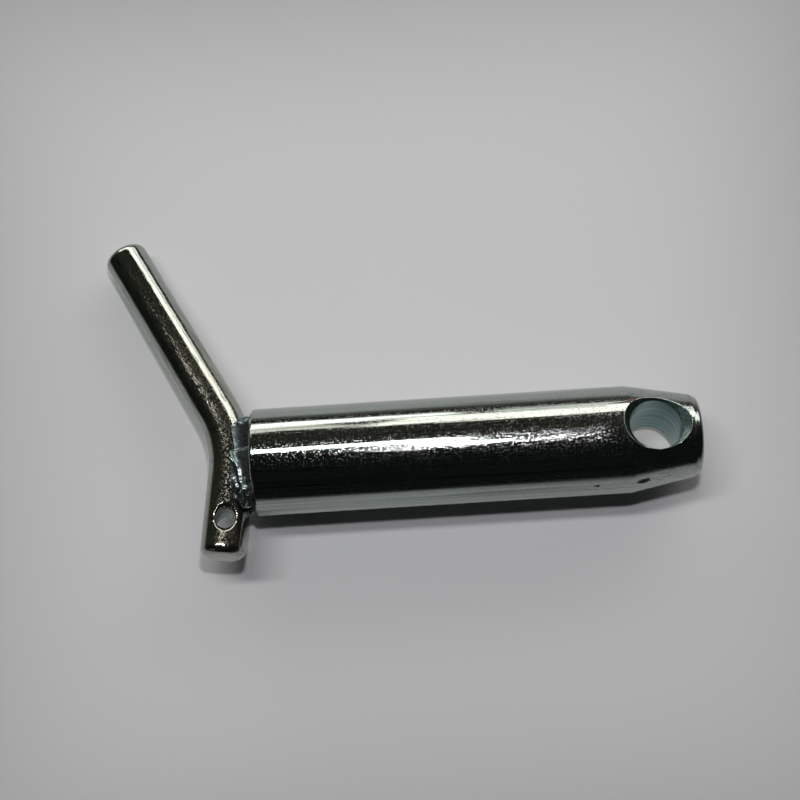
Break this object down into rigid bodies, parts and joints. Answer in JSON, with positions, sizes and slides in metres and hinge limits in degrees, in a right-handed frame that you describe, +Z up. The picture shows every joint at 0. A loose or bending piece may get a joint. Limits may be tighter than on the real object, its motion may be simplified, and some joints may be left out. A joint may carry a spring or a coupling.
{
  "type": "top link pin",
  "caption": "Solid round hitch pin with a tapered, cross-drilled nose and a bent round bar welded across its head as a handle, with a small chain hole in its short arm.",
  "frame": {"origin": "centre of the footprint, on the ground that the pin lies on", "axes": "+X along the pin from its head to its nose, +Y towards the handle's long arm, +Z up"},
  "size_m": [0.1404, 0.0814, 0.0254],
  "materials": {
    "plated_pin": "bright zinc plate over turned steel",
    "plated_bar": "bright zinc plate over drawn bar",
    "plated_weld": "bright zinc plate over rough weld metal"
  },
  "bodies": {
    "root": {"pin": "plated_pin", "handle_bar": "plated_bar", "weld_bead_upper": "plated_weld", "weld_bead_lower": "plated_weld"}
  },
  "joints": []
}
